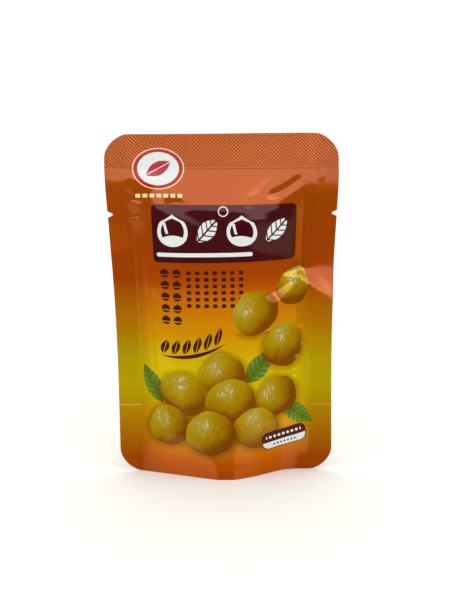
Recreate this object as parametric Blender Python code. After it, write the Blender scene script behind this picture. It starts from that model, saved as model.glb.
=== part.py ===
"""A small filled stand-up pouch of printed foil film, sealed shut all round.

The pouch stands upright on its opened bottom gusset, with its front facing -Y. Its front and back
films are sealed together flat along the top and both sides, and bulge apart between the seals. At
the bottom each film ends in a thin skirt that the pouch stands on, and the gusset film spans the
space between the two skirts a little above the ground. The seals end in rounded corners, and each
side seal has a tear notch. Above the filling the empty top leans back a little. The pouch is
shut, so it is one solid.

Units are metres, +Z is up, and the origin is on the ground in the middle of the pouch.
"""

import math

import bmesh
import bpy

# Outline of the two films, which lie in the plane y = 0 at the seals, below the leaning top. The
# corners are cut from the side seals, and leave a little of a seal's width at their ends.
HEIGHT = 0.136
TOP_WIDTH = 0.090
BASE_WIDTH = 0.0836
BASE_SHIFT = 0.0019
CORNER_RADIUS = 0.0102
CORNER_LEAVES = 0.0004

# How the empty top leans back: the height it starts at, its slope, and how softly it begins.
LEAN_FROM = 0.111
LEAN_SLOPE = 0.25
LEAN_ROUNDING = 0.003

# Seals and tear notches.
SEAL_THICKNESS = 0.0006
TOP_SEAL = 0.0140
SIDE_SEAL = 0.0090
NOTCH_DEPTH = 0.0020
NOTCH_HEIGHT = 0.0024
NOTCH_BELOW_TOP = 0.0312

# How far the front and back films stand away from the plane of the seals. Each film is 72 mm wide
# between its side seals when flat, so it stands out only as far as the seals come closer together.
BASE_BULGE = 0.0131
TAPER_POWER = 3.5
TAPER_ROUNDNESS = 0.8
GUSSET_HEIGHT = 0.027
BASE_FULLNESS = 1.6
BODY_FULLNESS = 1.0

# The skirt under the films, and the gusset film that it carries.
SKIRT_THICKNESS = 0.0009
SKIRT_HEIGHT = 0.0038
GUSSET_SAG = 0.0012

# Fineness of the faceted surface.
CORNER_STEPS = 6
BODY_STEP = 0.0046
BULGE_COLUMNS = 24
GUSSET_COLUMNS = 6

FILM_COLOR = (0.34, 0.075, 0.006, 1.0)
FILM_ROUGHNESS = 0.28
FILM_METALLIC = 0.35

SEAL_LINE = HEIGHT - TOP_SEAL
NOTCH_MIDDLE = HEIGHT - NOTCH_BELOW_TOP


def clear_scene():
    """Remove every object of the scene that the file starts with."""
    for old in list(bpy.data.objects):
        bpy.data.objects.remove(old, do_unlink=True)


def spaced(start, end, step):
    """Return evenly spaced values after start, up to and with end, about one step apart."""
    count = max(1, round((end - start) / step))
    return [start + (end - start) * i / count for i in range(1, count + 1)]


def levels():
    """Return the heights of the rings of points, from the ground to the top edge."""
    quarter = [math.pi / 2 * i / CORNER_STEPS for i in range(CORNER_STEPS + 1)]
    heights = [CORNER_RADIUS * (1 - math.cos(angle)) for angle in quarter]
    heights += spaced(CORNER_RADIUS, NOTCH_MIDDLE - NOTCH_HEIGHT / 2, BODY_STEP)
    heights += [NOTCH_MIDDLE, NOTCH_MIDDLE + NOTCH_HEIGHT / 2]
    heights += spaced(NOTCH_MIDDLE + NOTCH_HEIGHT / 2, SEAL_LINE, BODY_STEP)
    heights += [HEIGHT - CORNER_RADIUS + CORNER_RADIUS * math.sin(angle) for angle in quarter]
    return heights


def corner_inset(z):
    """Return how far the rounded corners draw the side edge in at height z."""
    reach = max(CORNER_RADIUS - z, z - (HEIGHT - CORNER_RADIUS), 0.0)
    inset = CORNER_RADIUS - math.sqrt(max(CORNER_RADIUS**2 - reach**2, 0.0))
    return min(inset, SIDE_SEAL - CORNER_LEAVES)


def notch_inset(z):
    """Return how far the tear notch cuts into the side edge at height z."""
    away = abs(z - NOTCH_MIDDLE) / (NOTCH_HEIGHT / 2)
    return NOTCH_DEPTH * max(0.0, 1 - away)


def centre_line(z):
    """Return where the middle of the films lies across the pouch at height z."""
    return BASE_SHIFT * max(1 - z / (HEIGHT - CORNER_RADIUS), 0.0)


def middle_bulge(z):
    """Return how far the middle of a film stands out from the seals at height z."""
    share = min(z / SEAL_LINE, 1.0)
    return BASE_BULGE * (1 - share**TAPER_POWER) ** TAPER_ROUNDNESS


def full_half_width(z):
    """Return half the width of the films at height z, before corners and notches are cut."""
    drawn_in = (middle_bulge(z) / BASE_BULGE) ** 2
    return (TOP_WIDTH - (TOP_WIDTH - BASE_WIDTH) * drawn_in) / 2


def fullness(z):
    """Return the power of the bulge across the film: high is narrow, with flat flanks."""
    share = min(z / GUSSET_HEIGHT, 1.0)
    return BASE_FULLNESS + (BODY_FULLNESS - BASE_FULLNESS) * share


def bulge_half_width(z):
    """Return half the width of the film between the side seals at height z."""
    return full_half_width(z) - SIDE_SEAL


def columns(z):
    """Return the places across the pouch of the points of one film at height z."""
    middle = centre_line(z)
    edge = full_half_width(z) - corner_inset(z) - notch_inset(z)
    inner = bulge_half_width(z)
    steps = [2 * i / BULGE_COLUMNS - 1 for i in range(BULGE_COLUMNS + 1)]
    places = [math.sin(step * math.pi / 2) * inner for step in steps]
    return [middle + place for place in [-edge] + places + [edge]]


def half_depth(x, z):
    """Return how far a film stands from the middle plane at the place x, z."""
    across = min(abs(x - centre_line(z)) / bulge_half_width(z), 1.0)
    return SEAL_THICKNESS / 2 + middle_bulge(z) * (1 - across**2) ** fullness(z)


def lean_back(z):
    """Return how far back the plane of the seals is at height z."""
    above = max(z - LEAN_FROM, 0.0)
    return LEAN_SLOPE * above**2 / (above + LEAN_ROUNDING)


def add_film(mesh, side):
    """Add the points of one film, side -1 for the front and 1 for the back, and its faces."""
    rows = []
    for z in levels():
        plane = lean_back(z)
        row = [mesh.verts.new((x, plane + side * half_depth(x, z), z)) for x in columns(z)]
        rows.append(row)
    for low, high in zip(rows, rows[1:]):
        for i in range(len(low) - 1):
            mesh.faces.new((low[i], low[i + 1], high[i + 1], high[i]))
    return rows


def close_edges(mesh, front, back):
    """Close the side edges and the top edge between the two films."""
    for column in (0, -1):
        for row in range(len(front) - 1):
            lower = (front[row][column], back[row][column])
            upper = (back[row + 1][column], front[row + 1][column])
            mesh.faces.new(lower + upper)
    for i in range(len(front[-1]) - 1):
        mesh.faces.new((front[-1][i], front[-1][i + 1], back[-1][i + 1], back[-1][i]))


def gusset_span(row):
    """Return the first and last columns of the hollow between the skirts."""
    wide = [i for i, point in enumerate(row) if abs(point.co.y) > 2 * SKIRT_THICKNESS]
    return wide[0] - 1, wide[-1] + 1


def gusset_column(mesh, x, reach, pointed):
    """Add the points of the gusset film at one place: skirt foot, film from front to back, foot."""
    if pointed:
        foot = mesh.verts.new((x, 0.0, 0.0))
        crease = mesh.verts.new((x, 0.0, SKIRT_HEIGHT))
        return [foot] + [crease] * (GUSSET_COLUMNS + 1) + [foot]
    points = [mesh.verts.new((x, -reach, 0.0))]
    for i in range(GUSSET_COLUMNS + 1):
        across = 2 * i / GUSSET_COLUMNS - 1
        sag = GUSSET_SAG * (1 - across**2)
        points.append(mesh.verts.new((x, across * reach, SKIRT_HEIGHT - sag)))
    points.append(mesh.verts.new((x, reach, 0.0)))
    return points


def add_face(mesh, points):
    """Add a face through the points, leaving out those that repeat."""
    once = list(dict.fromkeys(points))
    if len(once) > 2:
        mesh.faces.new(once)


def close_base(mesh, front, back):
    """Close the bottom with two flat skirt edges and the gusset film between them."""
    first, last = gusset_span(front)
    hollow = []
    for i in range(first, last + 1):
        reach = abs(front[i].co.y) - SKIRT_THICKNESS
        hollow.append(gusset_column(mesh, front[i].co.x, reach, i in (first, last)))
    for left, right, i in zip(hollow, hollow[1:], range(first, last)):
        add_face(mesh, (front[i], front[i + 1], right[0], left[0]))
        add_face(mesh, (back[i], left[-1], right[-1], back[i + 1]))
        for j in range(len(left) - 1):
            add_face(mesh, (left[j], right[j], right[j + 1], left[j + 1]))
    for i in range(first):
        join = (hollow[0][0],) if i == first - 1 else ()
        add_face(mesh, (front[i], back[i], back[i + 1]) + join + (front[i + 1],))
    for i in range(last, len(front) - 1):
        join = (hollow[-1][0],) if i == last else ()
        add_face(mesh, (front[i + 1], back[i + 1], back[i]) + join + (front[i],))


def film_material():
    """Make the glossy printed foil of the pouch."""
    material = bpy.data.materials.new("printed_film")
    material.use_nodes = True
    shader = material.node_tree.nodes["Principled BSDF"]
    shader.inputs["Base Color"].default_value = FILM_COLOR
    shader.inputs["Roughness"].default_value = FILM_ROUGHNESS
    shader.inputs["Metallic"].default_value = FILM_METALLIC
    return material


def make_pouch():
    """Make the pouch as one closed solid."""
    shape = bmesh.new()
    front = add_film(shape, -1)
    back = add_film(shape, 1)
    close_edges(shape, front, back)
    close_base(shape, front[0], back[0])
    bmesh.ops.recalc_face_normals(shape, faces=shape.faces)
    mesh = bpy.data.meshes.new("pouch")
    shape.to_mesh(mesh)
    shape.free()
    mesh.materials.append(film_material())
    mesh.shade_smooth()
    mesh.set_sharp_from_angle(angle=math.radians(35))
    pouch = bpy.data.objects.new("pouch", mesh)
    bpy.context.scene.collection.objects.link(pouch)
    return pouch


clear_scene()
make_pouch()
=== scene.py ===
"""The looks of a small filled foil snack pouch that stands on its opened bottom gusset.

The front and back films start flat, as they come off the bag maker's roll, sealed together along
the top and both sides. A cloth simulation brings the seals to their standing places and fills the
pouch with gas, so the film folds and puckers as real film does. Four pieces are then cut from the
filled shape: the front film, the back film, the gusset film and the crimped top seal.

The flat film has its own measures, used for the outline, the crimps and the print alike: s runs
across from the middle and t runs up from the bottom edge, both in millimetres. Places in the scene
are worked out in millimetres too, and are scaled to metres when a mesh is made.
"""

import math

import bpy
import numpy as np
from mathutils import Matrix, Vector


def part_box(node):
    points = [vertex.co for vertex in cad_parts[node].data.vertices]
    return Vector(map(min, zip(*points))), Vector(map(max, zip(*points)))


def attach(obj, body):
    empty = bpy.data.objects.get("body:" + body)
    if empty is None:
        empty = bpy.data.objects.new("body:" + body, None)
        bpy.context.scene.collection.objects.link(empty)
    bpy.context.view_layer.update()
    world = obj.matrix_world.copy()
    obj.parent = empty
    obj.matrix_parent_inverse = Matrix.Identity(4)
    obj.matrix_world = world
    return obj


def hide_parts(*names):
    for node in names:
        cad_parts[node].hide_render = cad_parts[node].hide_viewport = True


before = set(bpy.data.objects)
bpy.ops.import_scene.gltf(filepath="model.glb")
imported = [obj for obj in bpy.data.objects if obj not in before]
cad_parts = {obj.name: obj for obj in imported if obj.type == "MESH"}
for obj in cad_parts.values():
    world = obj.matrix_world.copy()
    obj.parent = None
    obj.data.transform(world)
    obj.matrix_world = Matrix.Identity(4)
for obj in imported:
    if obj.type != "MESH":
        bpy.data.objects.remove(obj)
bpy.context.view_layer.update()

MM = 0.001

# The flat film.
FLAT_WIDTH = 90.0
FLAT_HEIGHT = 138.0
SIDE_SEAL = 9.0
TOP_SEAL = 13.5
CORNER_RADIUS = 10.2
NOTCH_DEPTH = 2.0
NOTCH_HALF_HEIGHT = 1.3
NOTCH_T = 106.3
NOTCH_SHARPNESS = 1.6
CHAMBER_HALF = FLAT_WIDTH / 2 - SIDE_SEAL
CHAMBER_TOP = FLAT_HEIGHT - TOP_SEAL

# The standing pouch, from the frame, less the room that the film and its folds take outside.
SKIN_ROOM = 0.3
LOWEST, HIGHEST = (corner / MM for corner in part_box("pouch"))
STAND_HEIGHT = HIGHEST.z
TOP_WIDTH = HIGHEST.x - LOWEST.x
BULGE = (HIGHEST.y - LOWEST.y) / 2 - SKIN_ROOM
STANDING_RATIO = STAND_HEIGHT / FLAT_HEIGHT

# Its width at the ground, how far to the right that is, and the height up to which it is so.
BASE_WIDTH = 83.6
BASE_SHIFT = 1.9
SHIFT_HEIGHT = 128.0

# How the bulge dies away towards the top.
TAPER_POWER = 3.5
TAPER_ROUNDNESS = 0.8

# Below, a pair whose name ends in ONSET holds where something sets in and the length it grows over.

# How the empty top leans back. The stiffer sides start a little higher.
LEAN_FROM = 111.0
LEAN_SLOPE = 0.25
LEAN_ROUNDING = 3.0
LEFT_LEAN_LATER = 5.0
RIGHT_LEAN_LATER = 3.0
SIDES_ONSET = (22.0, 12.0)

# The right side: its films are pressed together above the filling.
PRESSED_WIDTH = 5.2
PRESSED_ONSET = (45.0, 15.0)

# Higher up it bends back at a facet, whose low edge drops and whose high edge rises sideways. The
# step back shrinks towards the top, and away from the seal the bend sets in gently.
FACET_START = 31.0
FACET_REACH = 14.0
FACET_LOW = 80.3
FACET_DROP = 0.7
FACET_HIGH = 81.5
FACET_RISE = 0.03
FACET_ROUNDNESS = 1.6
FACET_STEP = 4.4
FACET_STEP_AT_TOP = 1.6
SETTLES_FROM = 86.0
SETTLES_OVER = 26.0
GENTLE_ONSET = (68.0, 30.0)
NEAR_SEAL_ONSET = (0.7, 0.3)

# The left side seal curls forward between these heights, and less at its inner edge.
LEFT_CURL = 1.4
CURL_INSIDE = 0.2
CURL_HEIGHTS = (74.0, 90.0, 101.0)

# How far forward the side seals stand at the ground, and where the right side takes over.
LEFT_FORWARD = 3.0
RIGHT_FORWARD = 1.0
FORWARD_HEIGHT = 50.0
RIGHT_ONSET = (-8.0, 32.0)

# A slight wave across the top.
WAVE = 0.5
WAVE_RADIAN = 14.0
WAVE_PHASE = 0.6
WAVE_ONSET = (116.0, 20.0)

# The front film's foot is flat facets: its left corner, how that climbs, and its right side.
FOOT_CORNER = -4.0
FOOT_CLIMB = 0.8
FOOT_CLIMB_FROM = 5.0
FOOT_CLIMB_HEIGHT = 16.0
FOOT_PLACES = [4.0, 13.0, 18.0, 24.0, 30.0]
FOOT_REACH = [1.0, 0.66, 0.40, 0.11, 0.0]
FOOT_SOFTENING = 0.6
FOOT_HEIGHT = 26.0
BACK_FOOT_ROUNDNESS = 1.6

# The front film is less full than the back one towards the top.
FRONT_FALL = 0.4
FALL_ONSET = (10.0, 90.0)

# How much of the cloth's own shape is kept above the foot.
LOOSENESS = 0.45
LOOSE_ONSET = (6.0, 34.0)

# Where the gusset film is sealed to the others, its sag, and the step that its thickness makes.
GUSSET_HEIGHT = 27.6
GUSSET_MIDDLE = 5.0
GUSSET_INSET = 0.2
GUSSET_SAG = 3.2
LAYER_STEP = 0.10
LAYER_EDGE = 0.6

# Folds in the film: start and end (s, t), bend, depth (out is positive) and width.
CREASES = [
    ((15.5, 113.4), (31.5, 122.0), -1.6, -0.70, 1.5),
    ((29.3, 113.5), (30.8, 105.0), 0.0, 0.35, 0.7),
    ((38.6, 125.0), (38.2, 119.0), 0.2, 0.30, 0.6),
    ((-39.0, 123.0), (-26.5, 117.5), 0.6, 0.85, 2.4),
    ((-37.0, 117.5), (-33.0, 115.5), 0.2, 0.40, 0.8),
    ((-37.5, 111.5), (-30.0, 109.5), 0.4, 0.60, 1.5),
    ((-38.0, 104.5), (-31.0, 105.5), -0.3, 0.45, 1.0),
    ((-24.0, 109.5), (-15.0, 112.0), 0.4, -0.40, 1.8),
    ((-21.0, 91.0), (-9.0, 72.0), 0.5, 0.25, 0.5),
    ((-33.5, 98.0), (-31.5, 34.0), 0.6, 0.45, 1.5),
    ((-29.5, 92.0), (-27.5, 40.0), -0.5, 0.35, 1.7),
    ((-31.3, 86.0), (-29.5, 44.0), 0.0, -0.30, 1.2),
    ((31.5, 82.0), (16.0, 73.5), 0.8, -0.75, 2.8),
    ((31.0, 61.0), (44.5, 57.0), 0.0, -0.55, 2.6),
    ((31.0, 51.0), (30.0, 48.0), 0.0, -0.30, 0.7),
    ((30.0, 43.5), (29.2, 40.0), 0.0, -0.30, 0.8),
    ((5.0, 97.2), (9.0, 98.0), 0.0, 0.14, 0.4),
    ((11.5, 98.4), (15.0, 97.6), 0.0, 0.14, 0.4),
]
BACK_CREASES = [
    ((-34.0, 112.0), (-22.0, 118.0), 1.0, -0.50, 1.4),
    ((33.5, 92.0), (30.5, 42.0), 0.5, 0.45, 1.5),
    ((-33.0, 84.0), (-27.0, 52.0), -0.8, 0.50, 1.3),
    ((10.0, 119.0), (24.0, 113.0), 0.8, -0.40, 1.5),
]

CREASE_ENDS = 0.3
CREASE_SHARPNESS = 1.4

# Ledges that the front film bends back over: middle s, half width, low, top and high t, height.
LEDGES = [
    (-34.0, 8.0, 97.0, 120.0, 126.0, 0.8),
    (-2.0, 25.0, 80.0, 108.5, 121.0, 1.3),
    (14.0, 10.0, 86.0, 105.0, 117.0, 1.2),
]

# Thickness of the film and of the top seal, and the clearance that keeps one film off the next.
FILM = 0.12
SEAL_SLAB = 0.30
SEAL_OVERLAP = 0.3
CLEARANCE = 0.02

# The crimp of the top seal.
KNURL_PITCH = 1.4
KNURL_DEPTH = 0.065
KNURL_FADE = 0.3
KNURL_FADE_ONSET = (-30.0, 70.0)
KNURL_ENDS_ONSET = (27.0, 8.0)
KNURL_FOOT_ONSET = (0.4, 0.6)
KNURL_RIM = 0.5

# How finely the pieces are meshed.
PANEL_STEP = 0.6
PANEL_COLUMNS = 150
PANEL_CORNER_ROWS = 14
NOTCH_STEP = 0.22
BAND_STEP = 0.25
BAND_COLUMNS = 420
BAND_CORNER_ROWS = 64
GUSSET_COLUMNS = 72
SKIRT_ROWS = 8
FLOOR_ROWS = 26

# How many millimetres one unit of the film map holds.
FILM_UNIT = 100.0


def eased(value):
    """Return value held to 0..1 and eased at both ends."""
    value = np.clip(value, 0, 1)
    return value * value * (3 - 2 * value)


def onset(value, start, length):
    """Return 0 up to start, and rise from there to 1 over a length."""
    return eased((value - start) / length)


# ---------------------------------------------------------------- the standing shape


def bulge(z):
    """How far the middle of each film stands out from the seals at height z."""
    share = np.clip(z / (CHAMBER_TOP * STANDING_RATIO), 0, 1)
    return BULGE * (1 - share**TAPER_POWER) ** TAPER_ROUNDNESS


def half_width(z):
    """Half the width of the standing pouch at height z."""
    return (TOP_WIDTH - (TOP_WIDTH - BASE_WIDTH) * (bulge(z) / BULGE) ** 2) / 2


def lean_back(s, z):
    """How far the top of the pouch leans back at s, z: the stiffer sides start a little higher."""
    later = np.where(s < 0, LEFT_LEAN_LATER, RIGHT_LEAN_LATER) * onset(np.abs(s), *SIDES_ONSET)
    above = np.maximum(z - LEAN_FROM - later, 0)
    return LEAN_SLOPE * above**2 / (above + LEAN_ROUNDING)


def chamber_half(s, z):
    """Half the width of the chamber at height z, on the side where s is."""
    pressed = PRESSED_WIDTH * onset(z, *PRESSED_ONSET)
    return CHAMBER_HALF - np.where(s > 0, pressed, 0)


def peak(z, low, top, high):
    """A peak with straight sides: 0 at low, 1 at top and 0 at high."""
    return np.interp(z, [low, top, high], [0, 1, 0])


def facet(s, z):
    """How far the right side bends back at its facet, a triangle that opens towards the edge."""
    past = np.clip(s - FACET_START, 0, FACET_REACH)
    low = FACET_LOW - FACET_DROP * past
    high = FACET_HIGH + FACET_RISE * past**2
    return 1 - (1 - np.clip((z - low) / (high - low), 0, 1)) ** FACET_ROUNDNESS


def seal_depth(s, z, bent):
    """Where a seal lies front to back at s, z, when its facet is bent this much, from 0 to 1."""
    outer = np.clip((np.abs(s) - CHAMBER_HALF) / SIDE_SEAL, 0, 1)
    settled = np.clip((z - SETTLES_FROM) / SETTLES_OVER, 0, 1)
    step = FACET_STEP + (FACET_STEP_AT_TOP - FACET_STEP) * settled
    forward = 1 - eased(z / FORWARD_HEIGHT)
    curl = LEFT_CURL * (CURL_INSIDE + (1 - CURL_INSIDE) * outer) * peak(z, *CURL_HEIGHTS)
    left = -curl - LEFT_FORWARD * forward
    right = step * bent - RIGHT_FORWARD * forward
    wave = WAVE * np.sin(s / WAVE_RADIAN + WAVE_PHASE) * onset(z, *WAVE_ONSET)
    return lean_back(s, z) + wave + left + (right - left) * onset(s, *RIGHT_ONSET)


def foot(s, z):
    """How much of the bulge the front film has near the ground, where it stands in flat facets."""
    corner = FOOT_CORNER - FOOT_CLIMB * np.clip(z - FOOT_CLIMB_FROM, 0, FOOT_CLIMB_HEIGHT)
    steps = FOOT_SOFTENING * np.arange(-2, 3)
    total = 0
    for step in steps:
        left = (s + step + CHAMBER_HALF) / (corner + CHAMBER_HALF)
        right = np.interp(s + step, FOOT_PLACES, FOOT_REACH)
        total += np.clip(np.minimum(left, right), 0, 1)
    return total / len(steps)


def swell(s, z, side):
    """How much of the bulge a film has at s, z: 1 in the middle and 0 at the side seals."""
    u = np.clip(np.abs(s) / chamber_half(s, z), 0, 1)
    body = 1 - u**2
    low = foot(s, z) if side < 0 else body**BACK_FOOT_ROUNDNESS
    return low + (body - low) * eased(z / FOOT_HEIGHT)


def standing(s, t, side):
    """Places of film points in the standing pouch: side -1 for front, 1 for back, 0 for seals."""
    z = t * STANDING_RATIO
    middle = BASE_SHIFT * np.clip(1 - z / SHIFT_HEIGHT, 0, 1)
    chamber = half_width(z) - SIDE_SEAL
    inner = np.clip(s / CHAMBER_HALF, -1, 1)
    beyond = s - inner * CHAMBER_HALF
    x = middle + inner * chamber + beyond
    seal = seal_depth(s, z, facet(s, z))
    lean = lean_back(s, z)
    low = z - lean**2 / (2 * np.maximum(z - LEAN_FROM, 1))
    if side == 0:
        return np.stack([x, seal, low], axis=-1)
    half = chamber_half(s, z)
    gentle = onset(z, *GENTLE_ONSET)
    near = onset(np.abs(s) / half, *NEAR_SEAL_ONSET)
    edge = seal_depth(np.sign(s) * half, z, gentle + (facet(half, z) - gentle) * near)
    fall = FRONT_FALL * onset(z, *FALL_ONSET) if side < 0 else 0
    out = side * bulge(z) * (1 - fall) + lean
    y = np.where(np.abs(s) < half, edge + (out - edge) * swell(s, z, side), seal)
    return np.stack([x, y, low], axis=-1)


# ---------------------------------------------------------------- filling the flat pouch

GRID = 1.5
COLUMNS = round(FLAT_WIDTH / GRID)
ROWS = round(FLAT_HEIGHT / GRID)
SIM_SCALE = 10 * MM
SEALED_GAP = SIM_SCALE * 1e-5
OPEN_GAP = 0.6
LEAST_GAP = 0.001
GAP_NARROWS_AT_TOP = 20.0
GAP_NARROWS_AT_FOOT = 10.0
HELD_FOOT = 3.1
RISE_FRAMES = 20
LAST_FRAME = 45
SMOOTHINGS = 3


def only(obj):
    """Select just this object and make it active."""
    bpy.ops.object.select_all(action="DESELECT")
    obj.select_set(True)
    bpy.context.view_layer.objects.active = obj


def places_of(mesh):
    """The places of a mesh's points, one row each."""
    places = np.empty(len(mesh.vertices) * 3)
    mesh.vertices.foreach_get("co", places)
    return places.reshape(-1, 3)


def set_places(mesh, places):
    """Move a mesh's points to these places."""
    mesh.vertices.foreach_set("co", np.asarray(places, np.float32).ravel())
    mesh.update()


def new_grid(name, columns, rows):
    """Add a grid of unit size, and return it with how far across and up each of its points is."""
    bpy.ops.object.select_all(action="DESELECT")
    bpy.ops.mesh.primitive_grid_add(x_subdivisions=columns, y_subdivisions=rows, size=1)
    grid = bpy.context.object
    grid.name = grid.data.name = name
    start = places_of(grid.data) + 0.5
    return grid, start[:, 0], start[:, 1]


def flat_film(name, side):
    """Lay out one film of the empty pouch, open by a hair so that gas can get between."""
    film, across, up = new_grid(name, COLUMNS, ROWS)
    s = (across - 0.5) * FLAT_WIDTH * -side
    t = up * FLAT_HEIGHT
    from_side = (CHAMBER_HALF - np.abs(s)) / CHAMBER_HALF
    from_top = (CHAMBER_TOP - t) / GAP_NARROWS_AT_TOP
    from_foot = t / GAP_NARROWS_AT_FOOT + LEAST_GAP
    gap = OPEN_GAP * np.clip(np.minimum(np.minimum(from_side, from_top), from_foot), 0, 1)
    gap[np.abs(s) > CHAMBER_HALF - GRID / 2] = 0
    gap[t > CHAMBER_TOP - GRID / 2] = 0
    set_places(film.data, np.stack([s, side * gap, t], axis=-1) * SIM_SCALE)
    return film


def empty_pouch():
    """Weld the two flat films along the top and the sides."""
    front = flat_film("empty_pouch", -1)
    back = flat_film("empty_back", 1)
    only(back)
    bpy.ops.object.mode_set(mode="EDIT")
    bpy.ops.mesh.select_mode(type="FACE")
    bpy.ops.mesh.select_all(action="DESELECT")
    bpy.ops.object.mode_set(mode="OBJECT")
    for face in back.data.polygons:
        face.select = all(abs(back.data.vertices[i].co.y) < SEALED_GAP for i in face.vertices)
    bpy.ops.object.mode_set(mode="EDIT")
    bpy.ops.mesh.delete(type="FACE")
    bpy.ops.object.mode_set(mode="OBJECT")
    front.select_set(True)
    bpy.context.view_layer.objects.active = front
    bpy.ops.object.join()
    bpy.ops.object.mode_set(mode="EDIT")
    bpy.ops.mesh.select_all(action="SELECT")
    bpy.ops.mesh.remove_doubles(threshold=GRID * SIM_SCALE / 1e4)
    bpy.ops.object.mode_set(mode="OBJECT")
    return front


def grid_places(places):
    """Tell which column, row and side of the flat film each point belongs to."""
    column = np.rint(places[:, 0] / SIM_SCALE / GRID + COLUMNS / 2).astype(int)
    row = np.rint(places[:, 2] / SIM_SCALE / GRID).astype(int)
    side = np.sign(places[:, 1]) * (np.abs(places[:, 1]) > SEALED_GAP)
    return column, row, side


def all_standing(column, row, side):
    """Where each point of the flat pouch belongs when the pouch stands, in millimetres."""
    s = (column - COLUMNS / 2) * GRID
    t = row * GRID
    places = np.empty((len(column), 3))
    for one in (-1, 0, 1):
        mine = side == one
        places[mine] = standing(s[mine], t[mine], one)
    return places


def gather(pouch, name, chosen):
    """Make a vertex group of the chosen points."""
    group = pouch.vertex_groups.new(name=name)
    group.add(np.flatnonzero(chosen).tolist(), 1.0, "REPLACE")


def add_gas(pouch):
    """Make the film a cloth that hardly stretches, with gas pressing on the chamber only."""
    cloth = pouch.modifiers.new("film", "CLOTH")
    film = cloth.settings
    film.quality = 8
    film.mass = 0.3
    film.air_damping = 2
    film.tension_stiffness = film.compression_stiffness = 150
    film.shear_stiffness = 80
    film.tension_damping = film.compression_damping = film.shear_damping = 5
    film.bending_model = "ANGULAR"
    film.bending_stiffness = 0.5
    film.bending_damping = 0.5
    film.vertex_group_mass = "held"
    film.use_pressure = True
    film.uniform_pressure_force = 5
    film.vertex_group_pressure = "chamber"
    film.effector_weights.gravity = 0
    cloth.collision_settings.use_collision = False
    cloth.collision_settings.use_self_collision = False
    cloth.point_cache.frame_end = LAST_FRAME


def smoothed(film, side):
    """Take the grid's own beading out of the chamber's folds, and settle the foot in its facets."""
    s, t = np.meshgrid(
        (np.arange(COLUMNS + 1) - COLUMNS / 2) * GRID, np.arange(ROWS + 1) * GRID, indexing="ij"
    )
    free = (np.abs(s) < chamber_half(s, t * STANDING_RATIO) - GRID / 2) & (t < CHAMBER_TOP - GRID / 2)
    free &= t > GRID
    for _ in range(SMOOTHINGS):
        across = film.copy()
        across[1:-1] = (film[:-2] + 2 * film[1:-1] + film[2:]) / 4
        both = across.copy()
        both[:, 1:-1] = (across[:, :-2] + 2 * across[:, 1:-1] + across[:, 2:]) / 4
        film[free] = both[free]
    loose = LOOSENESS * onset(t, *LOOSE_ONSET)[..., None]
    shape = standing(s, t, side)
    return shape + (film - shape) * loose


def fill(pouch, column, row, side, target):
    """Raise the flat pouch to its standing places while gas fills it, and return where it ends."""
    s, t = (column - COLUMNS / 2) * GRID, row * GRID
    pressed = np.abs(s) > chamber_half(s, t * STANDING_RATIO)
    gather(pouch, "held", (side == 0) | (t <= HELD_FOOT) | pressed)
    gather(pouch, "chamber", side != 0)
    pouch.shape_key_add(name="Basis")
    upright = pouch.shape_key_add(name="upright")
    upright.data.foreach_set("co", (target * SIM_SCALE).ravel())
    for value, when in ((0, 1), (1, RISE_FRAMES)):
        upright.value = value
        upright.keyframe_insert("value", frame=when)
    add_gas(pouch)
    for now in range(1, LAST_FRAME + 1):
        bpy.context.scene.frame_set(now)
    filled = pouch.evaluated_get(bpy.context.evaluated_depsgraph_get())
    places = places_of(filled.data) / SIM_SCALE
    bpy.context.scene.frame_set(1)
    return places


def filled_film():
    """Stand the pouch up and fill it, and return the places of its front and back grids."""
    pouch = empty_pouch()
    column, row, side = grid_places(places_of(pouch.data))
    target = all_standing(column, row, side)
    places = fill(pouch, column, row, side, target)
    films = []
    for one in (-1, 1):
        film = np.zeros((COLUMNS + 1, ROWS + 1, 3))
        mine = (side == one) | (side == 0)
        film[column[mine], row[mine]] = places[mine]
        films.append(smoothed(film, one))
    mesh = pouch.data
    bpy.data.objects.remove(pouch)
    bpy.data.meshes.remove(mesh)
    for action in list(bpy.data.actions):
        bpy.data.actions.remove(action)
    return films


def cubic(share):
    """The weights of the four grid lines round a point, for a smooth curve through all lines."""
    a, b = share, 1 - share
    return np.stack([-a * b * b, 2 - 5 * a**2 + 3 * a**3, 2 - 5 * b**2 + 3 * b**3, -b * a * a]) / 2


def on_film(film, s, t):
    """Places on a filled film at flat-film measures s and t, smooth between the grid's points."""
    i = np.clip(s / GRID + COLUMNS / 2, 0, COLUMNS - 1e-6)
    j = np.clip(t / GRID, 0, ROWS - 1e-6)
    i0, j0 = np.floor(i).astype(int), np.floor(j).astype(int)
    across, up = cubic(i - i0), cubic(j - j0)
    total = np.zeros((len(s), 3))
    for a in range(4):
        for b in range(4):
            at_i = np.clip(i0 + a - 1, 0, COLUMNS)
            at_j = np.clip(j0 + b - 1, 0, ROWS)
            total += (across[a] * up[b])[:, None] * film[at_i, at_j]
    return total


def outward(film, s, t, side):
    """Unit directions out of the pouch at points of a filled film."""
    step = 0.4
    across = on_film(film, s + step, t) - on_film(film, s - step, t)
    up = on_film(film, s, t + step) - on_film(film, s, t - step)
    away = np.cross(across, up) * -side
    return away / np.maximum(np.linalg.norm(away, axis=1, keepdims=True), 1e-9)


# ---------------------------------------------------------------- outline of the flat film


def corner_inset(t):
    """How far the rounded corners draw the side edge in."""
    reach = np.maximum(CORNER_RADIUS - t, t - (FLAT_HEIGHT - CORNER_RADIUS)).clip(0, CORNER_RADIUS)
    return CORNER_RADIUS - np.sqrt(CORNER_RADIUS**2 - reach**2)


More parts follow.
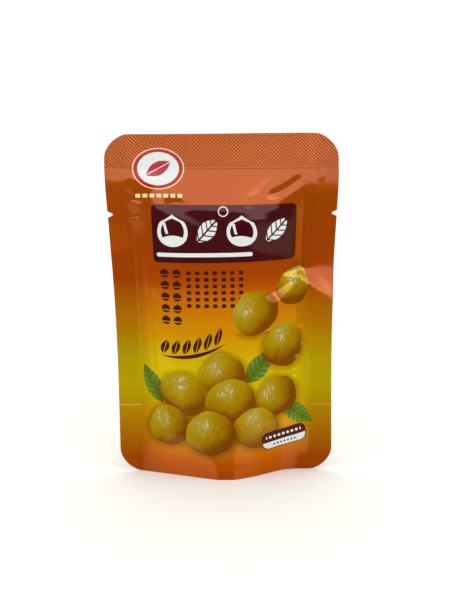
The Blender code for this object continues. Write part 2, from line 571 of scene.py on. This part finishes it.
def notch_inset(t):
    """How far the tear notch cuts into the side edge: a punched mark with a rounded point."""
    away = np.abs(t - NOTCH_T) / NOTCH_HALF_HEIGHT
    return NOTCH_DEPTH * np.clip(1 - away**NOTCH_SHARPNESS, 0, 1)


def outline(t):
    """Half the width of the flat film at height t, corners and notches cut."""
    return FLAT_WIDTH / 2 - corner_inset(t) - notch_inset(t)


def corner_levels(steps):
    """Heights of the points round a bottom corner, evenly spaced along its arc."""
    return CORNER_RADIUS * (1 - np.cos(np.linspace(0, math.pi / 2, steps + 1)))


def evenly(start, end, step):
    """Evenly spaced heights after start up to end, about one step apart."""
    return np.linspace(start, end, max(1, round((end - start) / step)) + 1)[1:]


def gusset_fold(s):
    """How high the gusset film is sealed to a front or back film: low in the middle, high aside."""
    share = np.clip(np.abs(s / CHAMBER_HALF), 0, 1)
    return GUSSET_MIDDLE + (GUSSET_HEIGHT - GUSSET_MIDDLE) * share**3


def crease(s, t, start, end, bend, depth, width):
    """How far a fold moves the film: out for a ridge, and in for a dent, whose depth is negative."""
    run = np.subtract(end, start)
    length = np.hypot(*run)
    along = ((s - start[0]) * run[0] + (t - start[1]) * run[1]) / length**2
    aside = ((t - start[1]) * run[0] - (s - start[0]) * run[1]) / length
    aside = aside - bend * 4 * along * (1 - along)
    ends = eased(along / CREASE_ENDS) * eased((1 - along) / CREASE_ENDS)
    return depth * ends * np.exp(-((np.abs(aside) / width) ** CREASE_SHARPNESS))


def relief(s, t, side):
    """What the seals and the film's own folds add to the filled shape, out of the pouch."""
    total = LAYER_STEP * eased((gusset_fold(s) - t) / LAYER_EDGE + 0.5)
    for fold in CREASES if side < 0 else BACK_CREASES:
        total += crease(s, t, *fold)
    for middle, half, low, top, high, height in LEDGES if side < 0 else []:
        fall = np.clip((high - t) / (high - top), 0, 1) ** 2
        rise = np.where(t < top, eased((t - low) / (top - low)), fall)
        total += height * rise * np.exp(-(((s - middle) / half) ** 2))
    return total


def panel_levels(step):
    """Heights of the rows of a front or back film, closer at the corners and at the notches."""
    low, high = NOTCH_T - NOTCH_HALF_HEIGHT, NOTCH_T + NOTCH_HALF_HEIGHT
    return np.concatenate([
        corner_levels(PANEL_CORNER_ROWS),
        evenly(CORNER_RADIUS, GUSSET_HEIGHT - LAYER_EDGE, step),
        evenly(GUSSET_HEIGHT - LAYER_EDGE, GUSSET_HEIGHT + LAYER_EDGE, LAYER_EDGE / 3),
        evenly(GUSSET_HEIGHT + LAYER_EDGE, low, step),
        evenly(low, high, NOTCH_STEP),
        evenly(high, CHAMBER_TOP, step),
    ])


def band_levels(step):
    """Heights of the rows of the top seal, closer round its corners."""
    return np.concatenate([
        [CHAMBER_TOP - SEAL_OVERLAP],
        evenly(CHAMBER_TOP - SEAL_OVERLAP, FLAT_HEIGHT - CORNER_RADIUS, step),
        FLAT_HEIGHT - corner_levels(BAND_CORNER_ROWS)[::-1][1:],
    ])


# ---------------------------------------------------------------- the four pieces


def film_maps(piece, s, t, span, corner, low=0.0):
    """Store the flat measures for the print, and lay the sheet from t = low up in the bake map."""
    mesh = piece.data
    point = np.empty(len(mesh.loops), int)
    mesh.loops.foreach_get("vertex_index", point)
    flat = np.stack([s, t], axis=1)[point]
    mesh.uv_layers.remove(mesh.uv_layers[0])
    film = mesh.uv_layers.new(name="film")
    film.uv.foreach_set("vector", (flat / FILM_UNIT).astype(np.float32).ravel())
    spread = mesh.uv_layers.new(name="OFBake")
    places = (flat - (0, low)) / span + corner
    spread.uv.foreach_set("vector", places.astype(np.float32).ravel())
    mesh.uv_layers.active = film


def thicken(piece, thickness, offset):
    """Give a sheet its thickness, inwards for offset -1 and both ways for offset 0."""
    solid = piece.modifiers.new("thickness", "SOLIDIFY")
    solid.thickness = thickness * MM
    solid.offset = offset
    only(piece)
    bpy.ops.object.modifier_apply(modifier=solid.name)


def move_inside(piece, outer_faces, shift, scale):
    """Lay the inside and the rim beside the outside in the bake map, and shade the rim flat."""
    mesh = piece.data
    mesh.polygons.foreach_set("use_smooth", np.arange(len(mesh.polygons)) < 2 * outer_faces)
    start = mesh.polygons[outer_faces].loop_start
    spread = mesh.uv_layers["OFBake"]
    places = np.empty(len(mesh.loops) * 2, np.float32)
    spread.uv.foreach_get("vector", places)
    places = places.reshape(-1, 2)
    places[start:] = places[start:] * scale + shift
    spread.uv.foreach_set("vector", places.ravel())


def panel(name, film, side):
    """Cut the front or back film from the filled shape."""
    levels = panel_levels(PANEL_STEP)
    piece, across, up = new_grid(name, PANEL_COLUMNS, len(levels) - 1)
    t = levels[np.rint(up * (len(levels) - 1)).astype(int)]
    s = (across - 0.5) * 2 * outline(t) * -side
    height = FILM + CLEARANCE + relief(s, t, side)
    places = on_film(film, s, t) + outward(film, s, t, side) * height[:, None]
    set_places(piece.data, places * MM)
    film_maps(piece, s, t, span=142, corner=(0.33, 0.01))
    faces = len(piece.data.polygons)
    thicken(piece, FILM, -1)
    move_inside(piece, faces, shift=(0.66, 0.0), scale=0.5)
    return piece


def knurl(s, t):
    """Height of the crimp: two families of slanting grooves, one of them fading at both ends."""
    falling = np.cos(2 * math.pi * (s + t) / KNURL_PITCH)
    rising = np.cos(2 * math.pi * (s - t) / KNURL_PITCH)
    ends = onset(np.abs(s), *KNURL_ENDS_ONSET)
    depth = KNURL_DEPTH * (1 - KNURL_FADE * onset(s, *KNURL_FADE_ONSET))
    return depth * (falling * (1.2 + 0.3 * ends) + rising * (0.8 - 0.7 * ends))


def make_top_seal(film):
    """Cut the crimped band along the top, with the crimp pressed through all its layers."""
    levels = band_levels(BAND_STEP)
    piece, across, up = new_grid("top_seal", BAND_COLUMNS, len(levels) - 1)
    t = levels[np.rint(up * (len(levels) - 1)).astype(int)]
    s = (across - 0.5) * 2 * outline(t)
    fade = onset(t - CHAMBER_TOP, *KNURL_FOOT_ONSET)
    fade *= eased((outline(t) - np.abs(s)) / KNURL_RIM) * eased((FLAT_HEIGHT - t) / KNURL_RIM)
    press = knurl(s, t) * fade
    places = on_film(film, s, t) + outward(film, s, t, -1) * press[:, None]
    set_places(piece.data, places * MM)
    film_maps(piece, s, t, span=92, corner=(0.5, 0.02), low=CHAMBER_TOP)
    faces = len(piece.data.polygons)
    thicken(piece, SEAL_SLAB, 0)
    move_inside(piece, faces, shift=(0.0, 0.4), scale=1.0)
    for face in piece.data.polygons:
        face.material_index = int(face.normal.y > 0)
    return piece


def make_gusset(front, back):
    """Span the gusset film between the skirts, down the inside of each and across below."""
    rows = 2 * SKIRT_ROWS + FLOOR_ROWS
    piece, across, up = new_grid("gusset_film", GUSSET_COLUMNS, rows)
    s = (across - 0.5) * 2 * (CHAMBER_HALF - GUSSET_INSET)
    step = up * rows
    fold = gusset_fold(s)
    down_front = np.clip(step / SKIRT_ROWS, 0, 1)
    down_back = np.clip((rows - step) / SKIRT_ROWS, 0, 1)
    over = np.clip((step - SKIRT_ROWS) / FLOOR_ROWS, 0, 1)
    at_front = on_film(front, s, fold * down_front + GUSSET_INSET)
    at_front -= outward(front, s, fold, -1) * CLEARANCE
    at_back = on_film(back, s, fold * down_back + GUSSET_INSET)
    at_back -= outward(back, s, fold, 1) * CLEARANCE
    places = at_front + (at_back - at_front) * over[:, None]
    sag = GUSSET_SAG * 4 * over * (1 - over) * (1 - np.abs(s / CHAMBER_HALF) ** 2)
    places[:, 2] -= sag
    set_places(piece.data, places * MM)
    film_maps(piece, s, -step, span=110, corner=(0.4, 0.48))
    faces = len(piece.data.polygons)
    thicken(piece, FILM, 1)
    move_inside(piece, faces, shift=(0.0, 0.5), scale=1.0)
    return piece


# ---------------------------------------------------------------- shader helpers


class Wire:
    """A shader socket that can stand in a sum: each operator on it adds a Math node."""

    def __init__(self, shader, socket):
        self.shader = shader
        self.socket = socket

    def __add__(self, other):
        return self.shader.math("ADD", self, other)

    __radd__ = __add__

    def __sub__(self, other):
        return self.shader.math("SUBTRACT", self, other)

    def __rsub__(self, other):
        return self.shader.math("SUBTRACT", other, self)

    def __mul__(self, other):
        return self.shader.math("MULTIPLY", self, other)

    __rmul__ = __mul__

    def __truediv__(self, other):
        return self.shader.math("DIVIDE", self, other)

    def __rtruediv__(self, other):
        return self.shader.math("DIVIDE", other, self)

    def __abs__(self):
        return self.shader.math("ABSOLUTE", self)


class Shader:
    """The nodes of a material or of the room's light."""

    def __init__(self, owner):
        owner.use_nodes = True
        self.owner = owner
        self.nodes = owner.node_tree.nodes
        self.links = owner.node_tree.links
        self.nodes.clear()

    def node(self, kind, settings=None, inputs=None, output=0):
        """Add a node: first its settings and a ramp's stops, then its sockets' values or links."""
        node = self.nodes.new("ShaderNode" + kind)
        for name, value in (settings or {}).items():
            if name == "stops":
                self.lay_stops(node.color_ramp, value)
            else:
                setattr(node, name, value)
        for name, value in (inputs or {}).items():
            socket = node.inputs[name]
            if isinstance(value, Wire):
                self.links.new(value.socket, socket)
            else:
                socket.default_value = value
        return Wire(self, node.outputs[output]) if node.outputs else node

    def lay_stops(self, ramp, stops):
        """Give a colour ramp its stops."""
        while len(ramp.elements) < len(stops):
            ramp.elements.new(1)
        for element, (place, colour) in zip(ramp.elements, stops):
            element.position = place
            element.color = (*colour, 1)

    def math(self, operation, *values):
        """Add a Math node."""
        return self.node("Math", {"operation": operation}, dict(enumerate(values)))

    def mix(self, share, first, second):
        """Mix two colours: all first at 0, all second at 1."""
        inputs = {0: share, 6: solid(first), 7: solid(second)}
        return self.node("Mix", {"data_type": "RGBA"}, inputs, output=2)

    def mix_places(self, share, first, second):
        """Mix two vectors: all first at 0, all second at 1."""
        return self.node("Mix", {"data_type": "VECTOR"}, {0: share, 4: first, 5: second}, output=1)

    def fade(self, value, start, end, first=0.0, last=1.0):
        """Go from first to last while a value goes from start to end, eased at both ends."""
        inputs = {0: value, 1: start, 2: end, 3: first, 4: last}
        return self.node("MapRange", {"interpolation_type": "SMOOTHSTEP"}, inputs)

    def numbers(self, vector):
        """The three numbers of a vector."""
        first = self.node("SeparateXYZ", None, {0: vector})
        return [Wire(self, socket) for socket in first.socket.node.outputs]


def solid(colour):
    """Give a plain colour its fourth number, and leave a wire as it is."""
    return colour if isinstance(colour, Wire) else (*colour, 1)


# ---------------------------------------------------------------- print

# The ground, from the bottom up: orange, yellow behind the heap, and burnt orange to the top.
GROUND = [
    (6, (0.48, 0.082, 0.001)),
    (24, (0.58, 0.280, 0.001)),
    (36, (0.62, 0.460, 0.001)),
    (46, (0.61, 0.450, 0.001)),
    (60, (0.60, 0.250, 0.001)),
    (80, (0.49, 0.072, 0.001)),
    (125, (0.46, 0.082, 0.001)),
]
# Painted light: the ground is painted brighter in a soft rounded field behind the motifs, and so is
# darker, as painted shade, towards the seals.
PAINTED_LIGHT = 0.48
PAINTED_LIGHT_MIDDLE = 41.0
PAINTED_LIGHT_HALF = (34.0, 40.0)
PAINTED_LIGHT_ROUNDING = 12.0
PAINTED_LIGHT_FADE = (-9.0, 6.0)

MAROON = (0.078, 0.004, 0.010)
DARK_INK = (0.075, 0.012, 0.008)
WHITE_INK = (0.70, 0.74, 0.75)
CREAM_INK = (0.80, 0.66, 0.36)
RED_INK = (0.42, 0.012, 0.020)
RULED_INK = (0.78, 0.66, 0.40)
SHADOW_INK = (0.20, 0.035, 0.002)
GLINT_INK = (0.90, 0.90, 0.60)
GREENS = [(0.15, (0.10, 0.19, 0.012)), (0.5, (0.17, 0.28, 0.02)), (0.85, (0.42, 0.55, 0.16))]
FLESH = [
    (0.0, (0.28, 0.085, 0.001)),
    (0.25, (0.45, 0.210, 0.001)),
    (0.5, (0.55, 0.350, 0.002)),
    (0.8, (0.60, 0.460, 0.020)),
    (1.0, (0.72, 0.64, 0.22)),
]

# The metal layer under the inks, and the relief of the film itself.
METAL = 0.42
GRAIN_PITCH = 0.85
GRAIN_HEIGHT = 0.016
RIPPLE_HEIGHT = 0.10

# The motifs: places (s, t) of their middles, half sizes, and turns in degrees.
PANEL_MIDDLE = (0.6, 99.3)
PANEL_HALF = (28.4, 11.5)
MOTIF_HALF = (5.9, 6.4)
MOTIF_PITCH = 27.2
BADGE_MIDDLE = (-24.4, 124.6)
BADGE_HALF = (10.0, 8.0)
SPRIG_MIDDLE = (-13.5, 54.0)
SPRIG_TURN = 12
LABEL_MIDDLE = (25.0, 15.6)
LABEL_HALF = (9.6, 3.9)
LABEL_TURN = 9
RULED_MIDDLE = (0.0, 60.0)
RULED_HALF = (27.0, 34.0)
HEADING_MIDDLE = (0.0, 105.0)
HEADING_HALF = (27.0, 6.0)

# The nuts: place across and up, half width, half height and turn in degrees, back ones first.
NUTS = [
    (-1.0, 43.5, 9.0, 8.2, 12),
    (-17.5, 35.0, 9.6, 8.6, -24),
    (21.5, 33.5, 8.8, 8.0, 30),
    (2.5, 33.0, 10.4, 8.8, -8),
    (-24.0, 21.5, 8.6, 8.2, 18),
    (13.5, 21.0, 9.8, 8.8, -16),
    (-6.5, 19.5, 10.6, 9.0, 9),
    (24.5, 54.0, 8.4, 9.0, -14),
    (12.5, 68.0, 9.6, 8.6, 34),
    (28.5, 77.0, 6.6, 7.4, -30),
]
# Leaves: place across and up of the middle, half length, half width and turn in degrees.
LEAVES = [(-30.5, 37.5, 8.5, 3.9, 118), (14.5, 46.5, 9.0, 4.3, 48), (31.0, 25.0, 8.0, 3.8, -38)]


class Print:
    """Inks laid one over the other on the film, over a ground with painted light in its middle."""

    def __init__(self, shader):
        self.shader = shader
        place = shader.node("UVMap", {"uv_map": "film"})
        self.place = shader.node("VectorMath", {"operation": "SCALE"}, {0: place, "Scale": FILM_UNIT})
        self.s, self.t = self.split(self.place)
        self.opaque = 0.0
        stops = [(height / FLAT_HEIGHT, colour) for height, colour in GROUND]
        ground = self.ramp(self.t / FLAT_HEIGHT, stops)
        # Painted light: the ground is brightened in a soft field in the chamber's middle, which leaves
        # painted shade towards the seals.
        past = self.slab(self.s, self.t - PAINTED_LIGHT_MIDDLE, *PAINTED_LIGHT_HALF, PAINTED_LIGHT_ROUNDING)
        glow = shader.fade(past, *PAINTED_LIGHT_FADE, PAINTED_LIGHT, 0.0)
        self.colour = shader.node("VectorMath", {"operation": "SCALE"}, {0: ground, "Scale": glow + 1})

    def split(self, vector):
        """The first two numbers of a vector."""
        return self.shader.numbers(vector)[:2]

    def join(self, x, y, z=0.0):
        """A vector of three numbers."""
        return self.shader.node("CombineXYZ", None, {0: x, 1: y, 2: z})

    def length(self, x, y):
        """How far a place is from the middle."""
        return self.shader.node("VectorMath", {"operation": "LENGTH"}, {0: self.join(x, y)}, output=1)

    def local(self, s, t, turn=0.0, size=(1.0, 1.0)):
        """Measures about a place on the film, turned and divided by a size."""
        inputs = {
            0: self.place,
            "Location": (s, t, 0),
            "Rotation": (0, 0, math.radians(turn)),
            "Scale": (*size, 1),
        }
        return self.split(self.shader.node("Mapping", {"vector_type": "TEXTURE"}, inputs))

    def slab(self, x, y, half_x, half_y, radius):
        """How far outside a rectangle with rounded corners a place is."""
        past_x = self.shader.math("MAXIMUM", abs(x) - (half_x - radius), 0)
        past_y = self.shader.math("MAXIMUM", abs(y) - (half_y - radius), 0)
        return self.length(past_x, past_y) - radius

    def below(self, value, limit):
        """1 where a value is under a limit, otherwise 0."""
        return self.shader.math("LESS_THAN", value, limit)

    def either(self, one, other):
        """The larger of two masks."""
        return self.shader.math("MAXIMUM", one, other)

    def repeat(self, value, pitch):
        """Measure from the middle of each of a row of equal cells."""
        return self.shader.math("WRAP", value, -pitch / 2, pitch / 2)

    def cells(self, value, first, pitch, count):
        """Measures in a row of cells, from the middle of the first one on, and the row's mask."""
        middle = first + (count - 1) * pitch / 2
        inside = self.below(abs(value - middle), count * pitch / 2)
        return self.repeat(value - first, pitch), inside

    def lay(self, mask, colour, opaque=False):
        """Print an ink; an opaque one hides the metal under the film."""
        self.colour = self.shader.mix(mask, self.colour, colour)
        if opaque:
            self.opaque = self.either(self.opaque, mask)

    def noise(self, place, scale, detail=2.0, rough=0.5):
        """Soft random patches."""
        inputs = {"Vector": place, "Scale": scale, "Detail": detail, "Roughness": rough}
        return self.shader.node("TexNoise", None, inputs)

    def ramp(self, value, stops):
        """A colour read from a row of stops."""
        return self.shader.node("ValToRGB", {"stops": stops}, {0: value})


def nut_outline(ink, x, y, point=1.6):
    """How far outside a plain nut of unit size a place is: round, with a short point on top."""
    narrow = x * (y * 0.12 + 1)
    tip = ink.shader.math("MAXIMUM", y - 0.55, 0) * abs(x) * point
    return ink.length(narrow, y) + tip - 1


def nut_motif(ink, x, y):
    """A nut of unit size in outline, with its pale base and a ray of light."""
    edge = nut_outline(ink, x, y, 2.0)
    rind = ink.below(abs(edge + 0.12), 0.12)
    base = ink.below(y + 0.30 + x * x * 0.3, 0) * ink.below(edge, 0)
    ray = ink.below(abs(x + 0.42 + y * 0.25), 0.09) * ink.below(abs(y - 0.15), 0.34)
    return ink.either(rind, ink.either(base, ray))


def leaf_motif(ink, x, y):
    """A slanted leaf of unit size, whose veins are left bare."""
    along, aside = (x + y) * 0.707, (y - x) * 0.707
    blade = ink.below(abs(aside) - 0.52 * (1 - along * along), 0) * ink.below(0.055, abs(aside))
    return blade * ink.below(0.05, abs(ink.repeat(along - abs(aside) * 0.8, 0.42)))


def print_panel(ink):
    """A dark panel with nuts and leaves by turns, a bar under them and a ring above."""
    x, y = ink.local(*PANEL_MIDDLE)
    ink.lay(ink.below(ink.slab(x, y, *PANEL_HALF, 1.8), 0), MAROON)
    wide, high = MOTIF_HALF
    row = (y - 1.2) / high
    nut = nut_motif(ink, ink.repeat(x + MOTIF_PITCH * 0.75, MOTIF_PITCH) / wide, row)
    leaf = leaf_motif(ink, ink.repeat(x + MOTIF_PITCH * 0.25, MOTIF_PITCH) / wide, row)
    ink.lay(ink.either(nut, leaf) * ink.below(abs(x), MOTIF_PITCH), WHITE_INK, True)
    bar = ink.slab(x + 8.0, y + 8.4, 19.0, 0.8, 0.7)
    ink.lay(ink.below(bar, 0), WHITE_INK, True)
    ring = abs(ink.length(x + 0.3, y - 9.0) - 1.8) - 0.22
    ink.lay(ink.below(ring, 0), WHITE_INK, True)


def print_badge(ink):
    """A plain oval badge with a ring and a leaf, and a row of dashes under it."""
    edge = ink.length(*ink.local(*BADGE_MIDDLE, 0, BADGE_HALF))
    ink.lay(ink.below(edge, 1.0), CREAM_INK, True)
    ink.lay(ink.below(edge, 0.95), RED_INK, True)
    ink.lay(ink.below(edge, 0.80), WHITE_INK, True)
    along, aside = ink.local(*BADGE_MIDDLE, 28)
    blade = abs(aside) - 2.6 * (1 - along * along / 30.0)
    ink.lay(ink.below(blade, 0) * ink.below(0.16, abs(aside)), RED_INK, True)
    x, row = ink.cells(ink.s, -32.5, 2.7, 7)
    dash = ink.below(ink.slab(x, ink.t - 114.2, 0.95, 0.75, 0.3), 0)
    ink.lay(dash * row, CREAM_INK, True)


def print_columns(ink):
    """Two columns of small nuts, and a block of dots beside them."""
    x, columns = ink.cells(ink.s, -23.7, 4.8, 2)
    y, rows = ink.cells(ink.t, 64.8, 4.7, 5)
    nut = ink.below(nut_outline(ink, x / 1.75, y / 1.8), 0) * ink.below(0.22, abs(y + 0.7))
    ink.lay(nut * columns * rows, DARK_INK)
    x, columns = ink.cells(ink.s, -14.1, 3.5, 7)
    y, rows = ink.cells(ink.t, 70.8, 2.6, 6)
    dot = ink.below(ink.slab(x, y, 0.95, 0.75, 0.6), 0)
    ink.lay(dot * columns * rows, DARK_INK)


def print_sprig(ink):
    """A tilted sprig: a tapered stem with a row of slanted leaves above it."""
    x, y = ink.local(*SPRIG_MIDDLE, SPRIG_TURN)
    share = x / 14.0
    bow = y - 0.012 * x * x + 3.4
    stem = abs(bow) - 0.75 * (1 - share * share)
    ink.lay(ink.below(stem, 0), DARK_INK)
    slanted = x - (bow - 3.4) * 0.5
    cell = ink.repeat(slanted - 2.25, 4.5)
    rise = (bow - 4.0) / 3.1
    leaf = abs(cell) - 1.7 * (1 - rise * rise)
    rib = ink.below(0.16, abs(cell - 0.1))
    ink.lay(ink.below(leaf, 0) * rib * ink.below(abs(slanted), 13.5), DARK_INK)


def print_label(ink):
    """A two-tone label with rounded ends and rows of plain dots."""
    x, y = ink.local(*LABEL_MIDDLE, LABEL_TURN)
    edge = ink.slab(x, y, *LABEL_HALF, 3.0)
    ink.lay(ink.below(edge, 0.0), MAROON)
    ink.lay(ink.below(edge, -0.35) * ink.below(y, -0.6), WHITE_INK, True)
    upper = ink.length(ink.repeat(x, 1.9), y - 1.5) - 0.62
    ink.lay(ink.below(upper, 0) * ink.below(abs(x), 7.6), WHITE_INK, True)
    lower = ink.length(ink.repeat(x, 1.5), y + 2.1) - 0.42
    ink.lay(ink.below(lower, 0) * ink.below(abs(x), 5.2), MAROON)


def print_leaves(ink):
    """Leaves with toothed edges: each one's own measures are laid first, then all are shaded."""
    shader = ink.shader
    place = ink.join(5.0, 0.0)
    leaves = 0.0
    for s, t, long, wide, turn in LEAVES:
        x, y = ink.local(s, t, turn, (long, wide))
        teeth = abs(ink.repeat(x - abs(y) * 0.35, 0.2)) * 0.9
        edge = abs(y) + teeth * (1 - abs(x)) - (1 - x * x) * (1 - x * 0.25)
        leaf = ink.below(edge, 0) * ink.below(abs(x), 1)
        place = shader.mix_places(leaf, place, ink.join(x, y))
        leaves = ink.either(leaf, leaves)
    x, y = ink.split(place)
    rib = shader.math("PINGPONG", x - abs(y) * 0.35, 0.14) / 0.14
    tone = rib * 0.25 + ink.noise(place, 5.0) * 0.5 + abs(y) * 0.22
    tone = tone - ink.below(abs(y), 0.05) * 0.3
    ink.lay(leaves, ink.ramp(tone, GREENS))


def print_nuts(ink):
    """The nuts, each one shading those behind it, and a soft shadow round the lower ones."""
    shader = ink.shader
    wobble = (ink.noise(ink.place, 0.16, 1.0) - 0.5) * 0.22
    place = ink.join(0.0, 0.0, 0.0)
    shade = 1.0
    nuts = 0.0
    for number, (s, t, wide, high, turn) in enumerate(NUTS):
        x, y = ink.local(s, t, turn, (wide, high))
        edge = nut_outline(ink, x, y, 0.2) + wobble
        near = shader.fade(edge, 0.0, 0.34, 0.55, 1.0)
        nut = ink.below(edge, 0)
        shade = ink.either(near * shade, nut)
        place = shader.mix_places(nut, place, ink.join(x, y, number * 3.7))
        nuts = ink.either(nut, nuts)
    shadow = (1 - shade) * ink.below(ink.t, 60)
    ink.lay(shadow * (1 - nuts), SHADOW_INK)
    ink.lay(nuts, nut_colour(ink, place, shade))


def nut_colour(ink, place, shade):
    """A peeled nut: a smooth body lit from the upper left, with shallow furrows and a few glints."""
    shader = ink.shader
    x, y, number = shader.numbers(place)
    height = shader.math("SQRT", shader.math("MAXIMUM", 1.04 - x * x - y * y, 0.02))
    meridian = x / (height + 0.35)
    furrows = ink.noise(ink.join(meridian * 3.0 + number, y * 0.9, number), 1.5, 3.0, 0.6)
    line = shader.fade(abs(furrows - 0.5), 0.0, 0.03, 0.14, 0.0)
    patches = ink.noise(ink.join(x + number, y, number), 1.5, 3.0, 0.55)
    light = height * 0.46 + y * 0.40 - x * 0.28 + 0.02
    rim = shader.math("MAXIMUM", 0.5 - height, 0) * shader.math("MAXIMUM", y * 0.8 - x * 0.6, 0)
    tone = (light + rim * 1.4 + (patches - 0.5) * 0.5 - line) * shade
    spot = ink.length(x + 0.25, (y - 0.38) * 0.8)
    gloss = shader.fade(spot, 0.05, 0.5, 1.0, 0.0)
    streaks = ink.noise(ink.join(meridian * 6.0 + number, y * 1.6, number), 2.0, 2.0, 0.6)
    fleck = shader.fade(streaks, 0.54, 0.62, 0.0, 0.75)
    return shader.mix(gloss * (fleck + 0.06), ink.ramp(tone, FLESH), GLINT_INK)


def finish_film(ink):
    """The film's own finish: ink over a metal layer, under a clear gloss."""
    shader = ink.shader
    finish = {
        "Base Color": ink.colour,
        "Metallic": METAL * (1 - ink.opaque),
        "Roughness": 0.14,
        "Specular IOR Level": 0.0,
        "Coat Weight": 1.0,
        "Coat Roughness": 0.05,
        "Normal": film_grain(ink),
    }
    skin = shader.node("BsdfPrincipled", None, finish)
    shader.node("OutputMaterial", None, {"Surface": skin})
    return shader.owner


def film_grain(ink):
    """The fine crosshatch that the sealing jaws leave on the side seals, and the film's own ripple."""
    shader = ink.shader
    past = abs(ink.s) - CHAMBER_HALF
    sealed = shader.node("MapRange", None, {0: past, 1: 0.2, 2: 0.8, 3: 0.0, 4: 1.0})
    across = shader.math("SINE", (ink.s + ink.t) * (2 * math.pi / GRAIN_PITCH))
    along = shader.math("SINE", (ink.s - ink.t) * (2 * math.pi / GRAIN_PITCH))
    ripple = ink.noise(ink.place, 0.11, 2.0) * RIPPLE_HEIGHT
    height = (across + along) * sealed * GRAIN_HEIGHT + ripple
    return shader.node("Bump", None, {"Height": height, "Distance": MM, "Strength": 1.0})


def make_front_print():
    """The front of the pouch."""
    ink = Print(Shader(bpy.data.materials.new("printed_front")))
    print_columns(ink)
    print_sprig(ink)
    print_panel(ink)
    print_badge(ink)
    print_leaves(ink)
    print_nuts(ink)
    print_label(ink)
    return finish_film(ink)


def make_back_print():
    """The back of the pouch: a pale panel with ruled lines, and a dark heading bar."""
    ink = Print(Shader(bpy.data.materials.new("printed_back")))
    x, y = ink.local(*RULED_MIDDLE)
    ink.lay(ink.below(ink.slab(x, y, *RULED_HALF, 2.4), 0), RULED_INK, True)
    line = ink.below(abs(ink.repeat(y + 1.0, 4.0)), 0.28)
    ink.lay(line * ink.below(abs(x), 23.5) * ink.below(abs(y + 1.0), 30.0), DARK_INK)
    x, y = ink.local(*HEADING_MIDDLE)
    ink.lay(ink.below(ink.slab(x, y, *HEADING_HALF, 1.8), 0), MAROON)
    column, row = ink.cells(x, -18.0, 9.0, 5)
    nut = ink.below(nut_outline(ink, column / 3.0, y / 3.2), 0)
    ink.lay(nut * row, WHITE_INK, True)
    return finish_film(ink)


# ---------------------------------------------------------------- studio

FLOOR_SIZE = 16.0
FLOOR_COLOUR = (0.85, 0.85, 0.84, 1)
CAMERA_DISTANCE = 0.95
CAMERA_HEIGHT_DEG = 18.0
CAMERA_LENS = 146.3
CAMERA_SENSOR = 36.0
CAMERA_REACH = 20.0
AIM = Vector((1.35, 0.0, 70.1)) * MM

# The room that the film mirrors: its lights, and the heights and places where they change.
ROOM_LIGHT = (1.31, 1.30, 1.26)
WINDOW_LIGHT = (2.4, 2.4, 2.4)
ROOM_DARK = (0.02, 0.02, 0.02)
ROOM_DIM = (0.10, 0.09, 0.02)
TABLE_LIGHT = (0.42, 0.45, 0.28)
LEFT_LIGHT = (0.20, 0.18, 0.03)
RIGHT_LIGHT = (0.40, 0.34, 0.03)
BACKDROP = (0.94, 0.94, 0.93)
CEILING_EDGE = (0.07, 0.14)
TABLE_EDGE = (-0.40, -0.24)
TABLE_ASIDE = (0.18, 0.42)
SIDES_ASIDE = (0.72, 0.90)
WINDOW_HEIGHT = (0.52, 0.11)
WINDOW_PLACE = (0.33, 0.17)


def make_floor():
    """A plain pale floor, which the film doesn't mirror."""
    bpy.ops.object.select_all(action="DESELECT")
    bpy.ops.mesh.primitive_plane_add(size=FLOOR_SIZE)
    floor = bpy.context.object
    floor.name = "floor"
    shader = Shader(bpy.data.materials.new("floor"))
    skin = shader.node("BsdfPrincipled", None, {"Base Color": FLOOR_COLOUR, "Roughness": 0.9})
    shader.node("OutputMaterial", None, {"Surface": skin})
    floor.data.materials.append(shader.owner)
    floor.visible_glossy = False


def make_world():
    """A bright room with one window, over a warm table that is dark straight in front.

    The camera sees a pale backdrop instead.
    """
    world = bpy.data.worlds.new("room")
    bpy.context.scene.world = world
    room = Shader(world)
    x, y, z = room.numbers(room.node("TexCoord", None, None, "Generated"))
    turned = abs(x) / room.math("SQRT", 1.0001 - z * z)
    side = room.mix(room.math("GREATER_THAN", x, 0), LEFT_LIGHT, RIGHT_LIGHT)
    table = room.mix(room.fade(turned, *SIDES_ASIDE), TABLE_LIGHT, side)
    table = room.mix(room.fade(turned, *TABLE_ASIDE), ROOM_DARK, table)
    lower = room.mix(room.fade(z, *TABLE_EDGE, 1.0, 0.0), ROOM_DIM, table)
    window = room.math("COMPARE", z, *WINDOW_HEIGHT) * room.math("COMPARE", x, *WINDOW_PLACE)
    window = window * room.math("LESS_THAN", y, 0)
    upper = room.mix(window, ROOM_LIGHT, WINDOW_LIGHT)
    glow = room.mix(room.fade(z, *CEILING_EDGE), lower, upper)
    seen = room.node("LightPath", None, None, "Is Camera Ray")
    light = room.node("Background", None, {"Color": room.mix(seen, glow, BACKDROP)})
    room.node("OutputWorld", None, {"Surface": light})


def make_camera():
    """A camera in front and a little above."""
    data = bpy.data.cameras.new("camera")
    camera = bpy.data.objects.new("camera", data)
    bpy.context.scene.collection.objects.link(camera)
    up = math.radians(CAMERA_HEIGHT_DEG)
    away = Vector((0, -math.cos(up), math.sin(up)))
    camera.location = AIM + away * CAMERA_DISTANCE
    camera.rotation_euler = (-away).to_track_quat("-Z", "Y").to_euler()
    data.lens = CAMERA_LENS
    data.sensor_width = CAMERA_SENSOR
    data.clip_end = CAMERA_REACH
    bpy.context.scene.camera = camera


# ---------------------------------------------------------------- making

front, back = filled_film()
prints = [make_front_print(), make_back_print()]
made = [
    panel("front_film", front, -1),
    panel("back_film", back, 1),
    make_top_seal(front),
    make_gusset(front, back),
]
for piece in made:
    for one in prints if piece.name != "back_film" else prints[::-1]:
        piece.data.materials.append(one)
    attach(piece, "root")
    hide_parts("pouch")

make_floor()
make_world()
make_camera()
bpy.context.scene.view_settings.view_transform = "Standard"
